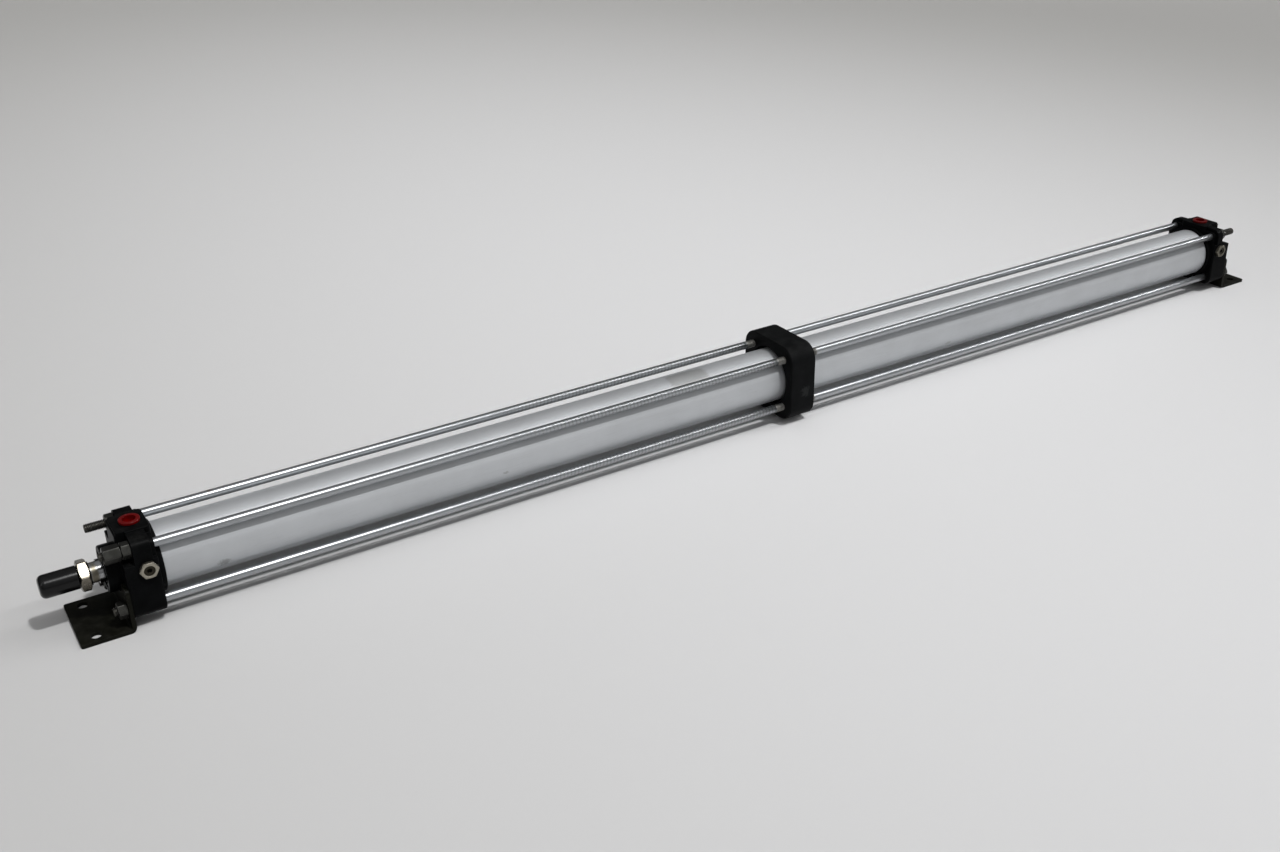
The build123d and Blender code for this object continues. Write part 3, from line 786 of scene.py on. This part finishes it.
    def make_nut(self) -> bpy.types.NodeTree:
        """Hexagon nut from X = 0 to its thickness, its corners turned down at both faces."""
        inputs = {
            "Across Flats": 0.013, "Thickness": 0.0075, "Hole Radius": 0.004, "Face Inset": 0.0005,
            "Corner Cut": 0.00012, "Countersink": 0.0004, "Turn": 0.0, "Columns": 72.0,
        }
        graph, given, leave = shape_group("hexagon_nut", inputs)
        mesh, row, share = self.sheet_of_rows(graph, 9, given["Columns"])
        sixth = math.tau / 6
        within = (share * math.tau - given["Turn"]) % sixth - sixth / 2
        flat = given["Across Flats"] / 2
        corner = given["Across Flats"] / math.sqrt(3) - given["Corner Cut"]
        side = graph.math("MINIMUM", flat / graph.math("COSINE", within), corner)
        face = flat - given["Face Inset"]
        drop = graph.math("MAXIMUM", side - face, 0.0) * math.tan(NUT_CORNER_ANGLE)
        top, lip, hole = given["Thickness"], given["Countersink"], given["Hole Radius"]
        rim = hole + lip
        x = self.pick(graph, row, [lip, 0.0, 0.0, drop, top - drop, top, top, top - lip, lip])
        radius = self.pick(graph, row, [hole, rim, face, side, side, face, rim, hole, hole])
        self.roll(graph, leave, mesh, x, radius, share)
        return graph.tree


@dataclass
class Workshop:
    """Tools that every sub-assembly uses."""

    effects: Effects
    shapes: TurnedShapes
    materials: dict[str, bpy.types.Material] = field(default_factory=dict)

    def finish(self, slot: str) -> bpy.types.Material:
        """The material of one slot, built when it is first asked for."""
        if slot not in self.materials:
            self.materials[slot] = FINISHES[slot].material(self.effects)
        return self.materials[slot]

    def dress(self, *names: str) -> None:
        """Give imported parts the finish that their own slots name.

        Args:
            names: the parts' names.
        """
        for name in names:
            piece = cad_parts[name]
            for place in piece.material_slots:
                slot = place.material.name.split(".")[0]
                place.material = self.finish(slot)
                log.info("%s: %s", name, slot)

    @staticmethod
    def evaluate(name: str, group: bpy.types.NodeTree, values: dict) -> bpy.types.Object:
        """Run a geometry tree and keep its result as a plain mesh.

        Args:
            name: name of the new piece.
            group: the tree, which ends in one geometry output.
            values: the tree's inputs by name.

        Returns:
            The new piece, at the origin.
        """
        seed_mesh = bpy.data.meshes.new(name + "_seed")
        holder = bpy.data.objects.new(name + "_seed", seed_mesh)
        show(holder)
        modifier = holder.modifiers.new("build", "NODES")
        modifier.node_group = group
        for socket in group.interface.items_tree:
            if socket.in_out == "INPUT" and socket.name in values:
                modifier[socket.identifier] = values[socket.name]
        depsgraph = bpy.context.evaluated_depsgraph_get()
        built = holder.evaluated_get(depsgraph)
        mesh = bpy.data.meshes.new_from_object(built, depsgraph=depsgraph)
        holder.modifiers.remove(modifier)
        bpy.data.objects.remove(holder)
        mesh.name = name
        mesh.set_sharp_from_angle(angle=SHARP_ANGLE)
        piece = bpy.data.objects.new(name, mesh)
        show(piece)
        log.info("%s: %d faces", name, len(mesh.polygons))
        return piece

    def close_tree(self, graph: Graph, leave: bpy.types.Node, shape: Signal, slot: str) -> None:
        """End a tree in merged points, realized instances and its material."""
        shape = graph.get("GeometryNodeRealizeInstances", {"Geometry": shape})
        shape = graph.get("GeometryNodeMergeByDistance", {
            "Geometry": shape, "Distance": MERGE_DISTANCE,
        })
        shape = graph.get("GeometryNodeSetShadeSmooth", {"Geometry": shape})
        shape = graph.get("GeometryNodeRealizeInstances", {"Geometry": shape})
        shape = graph.get("GeometryNodeSetMaterial", {
            "Geometry": shape, "Material": self.finish(slot),
        })
        graph.feed(leave.inputs["Geometry"], shape)


def join_shapes(graph: Graph, shapes: list[Signal]) -> Signal:
    """Join several geometries into one."""
    node = graph.node("GeometryNodeJoinGeometry")
    for shape in shapes:
        graph.tree.links.new(shape.socket, node.inputs[0])
    return graph.out(node)


@dataclass
class TieRods:
    """Four tie rods from the ring to one cover, with a rolled thread at each end."""

    end: End
    upper_tip: float
    lower_tip: float
    half_gap: float = HALF_GAP
    half_pitch: float = HALF_PITCH
    axis_height: float = AXIS_HEIGHT
    root: float = 1.0
    root_thread_end: float = 24.5
    thread_length: float = 29.0
    shank_radius: float = 4.0
    crest_radius: float = 3.94
    groove_radius: float = 3.32
    tip_radius: float = 3.05
    tip_chamfer: float = 0.8
    run_out: float = 1.6
    pitch: float = 1.25
    columns: int = 32

    def rod_values(self) -> dict[str, float]:
        """Inputs of the rod's tree by name, apart from its tip."""
        lengths = in_metres(
            self, "root", "root_thread_end", "thread_length", "shank_radius", "crest_radius",
            "groove_radius", "tip_radius", "tip_chamfer", "run_out", "pitch")
        return lengths | {"Columns": float(self.columns)}

    def set_values(self) -> dict[str, float]:
        """Inputs by name that only the tree of four rods has."""
        return in_metres(self, "half_pitch", "axis_height") | {
            "Facing": float(self.end.value),
            "Upper Tip": (self.half_gap + self.upper_tip) * MM,
            "Lower Tip": (self.half_gap + self.lower_tip) * MM,
        }

    def rod_tree(self, shop: Workshop) -> bpy.types.NodeTree:
        """One tie rod on the X axis, from the ring outwards."""
        inputs = self.rod_values() | {"Tip": self.half_gap * MM}
        graph, given, leave = shape_group("tie_rod", inputs)
        root, root_thread, tip = given["Root"], given["Root Thread End"], given["Tip"]
        shank_r, tip_r = given["Shank Radius"], given["Tip Radius"]
        columns = {"Columns": given["Columns"]}
        chamfer, run_out = given["Tip Chamfer"], given["Run Out"]
        tip_thread = tip - given["Thread Length"]
        screw = {
            "Pitch": given["Pitch"], "Crest Radius": given["Crest Radius"],
            "Root Radius": given["Groove Radius"], **columns,
        }
        plain, threaded = shop.shapes.plain, shop.shapes.threaded
        zones = [
            plain(graph, (root, root), (0.0, tip_r), columns),
            threaded(graph, (root, root_thread), (tip_r, shank_r), (chamfer, run_out), screw),
            plain(graph, (root_thread, tip_thread), (shank_r, shank_r), columns),
            threaded(graph, (tip_thread, tip), (shank_r, tip_r), (run_out, chamfer), screw),
            plain(graph, (tip, tip), (tip_r, 0.0), columns),
        ]
        graph.feed(leave.inputs["Geometry"], join_shapes(graph, zones))
        return graph.tree

    def set_tree(self, shop: Workshop, rod: bpy.types.NodeTree) -> bpy.types.NodeTree:
        """Four rods round the cylinder, each on its own point, turned to face the chosen end."""
        own = self.rod_values()
        graph, given, leave = shape_group("tie_rod_set", self.set_values() | own)
        passed = {name: given[name] for name in own}
        half_pitch = given["Half Pitch"]
        about = (1.0 - given["Facing"]) * (math.pi / 2)
        placed = []
        for word, level in (("Upper Tip", 1.0), ("Lower Tip", -1.0)):
            bar = graph.out(graph.use(rod, {"Tip": given[word], **passed}))
            turned = graph.get("GeometryNodeTransform", {
                "Geometry": bar, "Rotation": graph.join(0.0, 0.0, about),
            })
            height = given["Axis Height"] + half_pitch * level
            points = graph.get("GeometryNodeMeshLine", {
                "Count": 2, "Start Location": graph.join(0.0, half_pitch * -1.0, height),
                "Offset": graph.join(0.0, half_pitch * 2.0, 0.0),
            })
            placed.append(graph.get("GeometryNodeInstanceOnPoints", {
                "Points": points, "Instance": turned,
            }))
        shop.close_tree(graph, leave, join_shapes(graph, placed), "zinc_rod")
        return graph.tree

    def build(self, shop: Workshop) -> None:
        """Build the four rods as one piece on the cylinder body."""
        tree = self.set_tree(shop, self.rod_tree(shop))
        values = self.set_values() | self.rod_values()
        piece = shop.evaluate(f"{self.end.word}_tie_rods", tree, values)
        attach(piece, "cylinder")
        names = [f"{self.end.word}_tie_rod_{side}_{level}"
                 for side in ("near", "far") for level in ("upper", "lower")]
        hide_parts(*names)


@dataclass
class Nuts:
    """Hexagon nuts on given places, as one piece."""

    name: str
    slot: str
    body: str
    places: tuple[Triple, ...]
    across_flats: float
    thickness: float
    hole_radius: float
    turn: float = 0.0
    countersink: float = 0.4
    columns: int = 72

    def values(self) -> dict[str, float]:
        """The tree's inputs by name."""
        lengths = in_metres(self, "across_flats", "thickness", "hole_radius", "countersink")
        return lengths | {"Turn": math.radians(self.turn), "Columns": float(self.columns)}

    def tree(self, shop: Workshop) -> bpy.types.NodeTree:
        """One nut instanced on each place."""
        graph, given, leave = shape_group(self.name, self.values())
        nut = graph.out(graph.use(shop.shapes.nut, given))
        copies = []
        for place in self.places:
            point = graph.get("GeometryNodeMeshLine", {
                "Count": 1, "Start Location": tuple(part * MM for part in place),
            })
            copies.append(graph.get("GeometryNodeInstanceOnPoints", {
                "Points": point, "Instance": nut,
            }))
        shop.close_tree(graph, leave, join_shapes(graph, copies), self.slot)
        return graph.tree

    def build(self, shop: Workshop) -> None:
        """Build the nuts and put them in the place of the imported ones."""
        piece = shop.evaluate(self.name + "_dressed", self.tree(shop), self.values())
        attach(piece, self.body)
        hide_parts(self.name)


@dataclass
class RodEnd:
    """The piston rod with its wrench flats and thread, its jam nut and its cap."""

    axis_height: float = AXIS_HEIGHT
    stub_end: float = 658.5
    stub_r: float = 7.0
    stub_chamfer: float = 1.0
    shoulder: float = 591.5
    shank_radius: float = 10.0
    shank_end: float = -688.6
    shank_edge: float = 0.6
    flat_from: float = -682.4
    flat_to: float = -687.8
    half_flat: float = 8.5
    flat_turn: float = 60.0
    thread_end: float = -724.6
    crest_radius: float = 7.94
    groove_radius: float = 7.08
    tip_radius: float = 6.45
    tip_chamfer: float = 1.5
    pitch: float = 1.5
    nut_x: float = -697.0
    columns: int = 96

    def values(self) -> dict[str, float]:
        """The tree's inputs by name."""
        other = {"Flat Turn": math.radians(self.flat_turn), "Columns": float(self.columns)}
        return in_metres(self, "half_flat", "pitch", "axis_height") | other

    def stations(self, flat: Signal) -> list[tuple[float, float, Any]]:
        """X, radius and half width over the flats where the rod's outline bends."""
        round_bar = 1.0
        return [
            (self.stub_end, 0.0, round_bar),
            (self.stub_end, self.stub_r - self.stub_chamfer, round_bar),
            (self.stub_end - self.stub_chamfer, self.stub_r, round_bar),
            (self.shoulder, self.stub_r, round_bar),
            (self.shoulder, self.shank_radius, round_bar),
            (self.flat_from, self.shank_radius, round_bar),
            (self.flat_from, self.shank_radius, flat),
            (self.flat_to, self.shank_radius, flat),
            (self.flat_to, self.shank_radius, round_bar),
            (self.shank_end + self.shank_edge, self.shank_radius, round_bar),
            (self.shank_end, self.shank_radius - self.shank_edge, round_bar),
            (self.shank_end, self.crest_radius, round_bar),
        ]

    def tree(self, shop: Workshop) -> bpy.types.NodeTree:
        """The rod from its stub to its thread, one zone after the other."""
        graph, given, leave = shape_group("piston_rod", self.values())
        bends = self.stations(given["Half Flat"])
        columns = {"Columns": given["Columns"]}
        zones = []
        for (start, start_r, start_flat), (stop, stop_r, stop_flat) in zip(bends, bends[1:]):
            zones.append(shop.shapes.plain(
                graph, (stop * MM, start * MM), (stop_r * MM, start_r * MM),
                {"Start Flat": stop_flat, "End Flat": start_flat, "Flat Turn": given["Flat Turn"],
                 **columns},
            ))
        tip, crest_r, tip_r = self.thread_end * MM, self.crest_radius * MM, self.tip_radius * MM
        zones.append(shop.shapes.threaded(
            graph, (tip, self.shank_end * MM), (tip_r, crest_r),
            (self.tip_chamfer * MM, self.pitch * MM),
            {"Pitch": given["Pitch"], "Crest Radius": crest_r,
             "Root Radius": self.groove_radius * MM, **columns},
        ))
        zones.append(shop.shapes.plain(graph, (tip, tip), (0.0, tip_r), columns))
        joined = join_shapes(graph, zones)
        raised = graph.get("GeometryNodeTransform", {
            "Geometry": joined, "Translation": graph.join(0.0, 0.0, given["Axis Height"]),
        })
        shop.close_tree(graph, leave, raised, "chrome_rod")
        return graph.tree

    def build(self, shop: Workshop) -> None:
        """Build the rod and its jam nut, and dress the cap."""
        rod = shop.evaluate("piston_rod_dressed", self.tree(shop), self.values())
        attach(rod, "piston_rod")
        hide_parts("piston_rod")
        Nuts("rod_jam_nut", "nickel_nut", "rod_nut", ((self.nut_x, 0.0, self.axis_height),),
             across_flats=24.0, thickness=8.0, hole_radius=8.0, turn=-16.0,
             countersink=0.7).build(shop)
        shop.dress("thread_cap")


@dataclass
class EndFittings:
    """One cover with all that is clamped or screwed to it."""

    end: End
    upper_seat: float
    half_gap: float = HALF_GAP
    half_pitch: float = HALF_PITCH
    axis_height: float = AXIS_HEIGHT
    lower_seat: float = 29.7
    nut_t: float = 7.5
    nut_flats: float = 13.0
    nut_hole_radius: float = 4.0
    long_nut_from: float = 39.0
    long_nut_t: float = 13.5

    def build(self, shop: Workshop) -> None:
        """Dress the cover, foot, needle and plug, and build the tie rod nuts."""
        word = self.end.word
        shop.dress(f"{word}_cover", f"{word}_foot", f"cushion_needle_{word}",
                   f"needle_lock_nut_{word}", f"needle_o_ring_{word}", f"port_plug_{word}",
                   f"tube_gasket_{word}", f"cushion_seal_{word}", f"cushion_ring_{word}")
        places = []
        for seat, level in ((self.upper_seat, 1), (self.lower_seat, -1)):
            outer = self.end.value * (self.half_gap + seat)
            x = outer if self.end is End.REAR else outer - self.nut_t
            z = self.axis_height + level * self.half_pitch
            places += [(x, side * self.half_pitch, z) for side in (-1, 1)]
        name = f"{word}_tie_rod_nuts"
        Nuts(name, "dark_nut_steel", "cylinder", tuple(places), self.nut_flats, self.nut_t,
             self.nut_hole_radius).build(shop)
        if self.end is End.FRONT:
            place = (-self.half_gap - self.long_nut_from, -self.half_pitch,
                     self.axis_height + self.half_pitch)
            Nuts("long_nut", "dark_nut_steel", "cylinder", (place,), self.nut_flats,
                 self.long_nut_t, self.nut_hole_radius).build(shop)


class Barrel:
    """The tube with its ring and bare label, and what moves or seals inside it."""

    outside = ("cylinder_tube", "reinforcing_ring", "blank_label")
    inside = ("rod_bush", "rod_seal", "seal_retainer", "retaining_ring", "piston", "piston_seal",
              "wear_ring", "piston_gasket", "piston_nut")

    def build(self, shop: Workshop) -> None:
        """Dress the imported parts."""
        shop.dress(*self.outside, *self.inside)


@dataclass
class Studio:
    """Floor, world, lamps and camera; lengths here are metres."""

    floor_r: float = 60.0
    floor_colour: Colour = (0.71, 0.71, 0.717)
    # Painted shade: the floor colour far from the middle stands in for the lamps' falloff.
    floor_far: Colour = (0.36, 0.355, 0.345)
    floor_centre: tuple[float, float] = (0.20, -0.15)
    floor_spread: tuple[float, float] = (0.88, 1.6)
    floor_fade: float = 2.25
    floor_roughness: float = 0.9
    floor_specular: float = 0.2
    world_low: float = 0.06
    world_high: float = 0.44
    world_span: tuple[float, float] = (-0.1, 0.95)
    world_lean: float = -0.45
    strip_elevation: float = 70.0
    strip_low: float = 7.0
    strip_high: float = 34.0
    strip_half: float = 0.018
    strip_core: float = 0.4
    strip_span: tuple[float, float] = (0.25, 0.75)
    key_elevation: float = 60.0
    key_azimuth: float = -66.0
    key_angle: float = 3.5
    key_strength: float = 1.75
    camera_place: Triple = (-0.79145, -1.01849, 0.63826)
    yaw: float = 0.54793056
    pitch: float = -0.47160257
    roll: float = -0.01986602
    lens: float = 38.41
    sensor: float = 36.0

    def floor(self) -> None:
        """Pale floor whose colour is painted to darken softly away from the middle of the view, a
        painted pool of light.
        """
        bpy.ops.mesh.primitive_circle_add(
            vertices=64, radius=self.floor_r, fill_type="NGON", location=(0, 0, 0))
        plane = bpy.context.object
        plane.name = "floor"
        made = bpy.data.materials.new("pale_floor")
        made.use_nodes = True
        graph = Graph(made.node_tree)
        shader = made.node_tree.nodes["Principled BSDF"]
        x, y, _ = graph.split(graph.place())
        across = (x - self.floor_centre[0]) / self.floor_spread[0]
        away = (y - self.floor_centre[1]) / self.floor_spread[1]
        reach = graph.math("SQRT", across * across + away * away)
        # Painted light: the colour fades from the bright centre to the darker floor colour, a pool
        # of light painted on the floor.
        painted_falloff = graph.ramp(reach, 0.0, self.floor_fade)
        colour = graph.blend(painted_falloff, self.floor_colour, self.floor_far)
        graph.feed(shader.inputs["Base Color"], colour)
        shader.inputs["Roughness"].default_value = self.floor_roughness
        shader.inputs["Specular IOR Level"].default_value = self.floor_specular
        plane.data.materials.append(made)

    def world(self) -> None:
        """Grey surroundings, brightest on the near side, and a long strip of lamps overhead."""
        world = bpy.data.worlds.new("studio")
        world.use_nodes = True
        graph = Graph(world.node_tree)
        background = world.node_tree.nodes["Background"]
        direction = graph.get("ShaderNodeTexCoord", key="Generated")
        brightest = Vector((0.0, self.world_lean, 1.0)).normalized()
        towards = graph.vector("DOT_PRODUCT", direction, tuple(brightest), key="Value")
        level = graph.ramp(towards, *self.world_span, self.world_low, self.world_high)
        rise = math.radians(self.strip_elevation)
        off_plane = (0.0, math.sin(rise), math.cos(rise))
        off_strip = graph.vector("DOT_PRODUCT", direction, off_plane, key="Value")
        along, _, upward = graph.split(direction)
        core = self.strip_core * self.strip_half
        strip = graph.ramp(graph.math("ABSOLUTE", off_strip), self.strip_half, core)
        strip_level = graph.ramp(along, *self.strip_span, self.strip_low, self.strip_high)
        graph.feed(background.inputs["Strength"], level + strip * upward.above(0.0) * strip_level)
        background.inputs["Color"].default_value = (1.0, 1.0, 1.0, 1.0)
        bpy.context.scene.world = world

    def lamp(self) -> None:
        """Sun lamp for the shadows; its azimuth runs from +X towards +Y."""
        data = bpy.data.lights.new("key", "SUN")
        data.energy = self.key_strength
        data.angle = math.radians(self.key_angle)
        lamp = bpy.data.objects.new("key", data)
        show(lamp)
        turn, rise = math.radians(self.key_azimuth), math.radians(self.key_elevation)
        flat = math.cos(rise)
        source = Vector((flat * math.cos(turn), flat * math.sin(turn), math.sin(rise)))
        lamp.rotation_euler = source.to_track_quat("Z", "Y").to_euler()

    def camera(self) -> None:
        """Camera at the photograph's place."""
        forward = Vector((
            math.sin(self.yaw) * math.cos(self.pitch),
            math.cos(self.yaw) * math.cos(self.pitch),
            math.sin(self.pitch),
        ))
        right = Vector((math.cos(self.yaw), -math.sin(self.yaw), 0.0))
        up = right.cross(forward)
        side = math.cos(self.roll) * right + math.sin(self.roll) * up
        top = -math.sin(self.roll) * right + math.cos(self.roll) * up
        data = bpy.data.cameras.new("camera")
        data.lens = self.lens
        data.sensor_width = self.sensor
        data.clip_start = 0.01
        data.clip_end = 500.0
        camera = bpy.data.objects.new("camera", data)
        show(camera)
        turned = Matrix((side, top, -forward)).transposed().to_4x4()
        camera.matrix_world = Matrix.Translation(Vector(self.camera_place)) @ turned
        bpy.context.scene.camera = camera

    def build(self) -> None:
        """Set up the whole studio."""
        self.floor()
        self.world()
        self.lamp()
        self.camera()
        bpy.context.scene.view_settings.view_transform = "Standard"
        log.info("studio: floor, world, lamp and camera")


def main() -> None:
    """Build every sub-assembly and the studio."""
    logging.basicConfig(level=logging.INFO, format="%(name)s %(message)s")
    shop = Workshop(Effects(), TurnedShapes())
    Barrel().build(shop)
    for end, upper_seat, upper_tip in ((End.FRONT, 18.0, 41.9), (End.REAR, 12.0, 39.0)):
        EndFittings(end, upper_seat).build(shop)
        TieRods(end, upper_tip, lower_tip=40.2).build(shop)
    RodEnd().build(shop)
    Studio().build()


if __name__ == "__main__":
    main()
